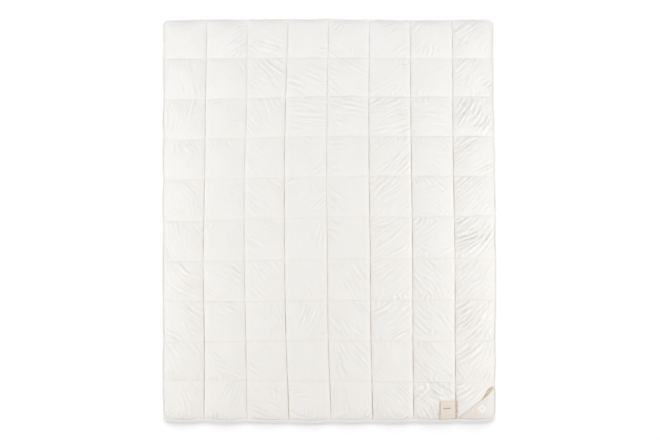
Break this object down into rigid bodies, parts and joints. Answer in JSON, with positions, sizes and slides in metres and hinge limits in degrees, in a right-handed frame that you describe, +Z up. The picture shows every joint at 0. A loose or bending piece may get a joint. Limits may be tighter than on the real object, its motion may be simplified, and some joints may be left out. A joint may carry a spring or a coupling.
{
  "type": "quilted duvet",
  "caption": "Quilted duvet lying flat, crowned squares between sewn channels, bound edge, corner patch with small label and a folded label in the foot seam.",
  "frame": {"origin": "on the surface it lies on, under the middle of the duvet", "axes": "+Z up, +Y along the length towards the head end, +X across towards the side with the labels"},
  "size_m": [1.9854, 2.4002, 0.0468],
  "materials": {
    "shell_cotton": "matte white cotton, slightly warm",
    "binding_cotton": "matte white bias tape",
    "natural_cotton": "matte unbleached cotton",
    "white_weave": "smooth white label weave",
    "label_cotton": "matte cream cotton tape"
  },
  "bodies": {
    "root": {"duvet": "shell_cotton", "binding": "binding_cotton", "corner_patch": "natural_cotton", "patch_label": "white_weave", "seam_label": "label_cotton"}
  },
  "joints": []
}
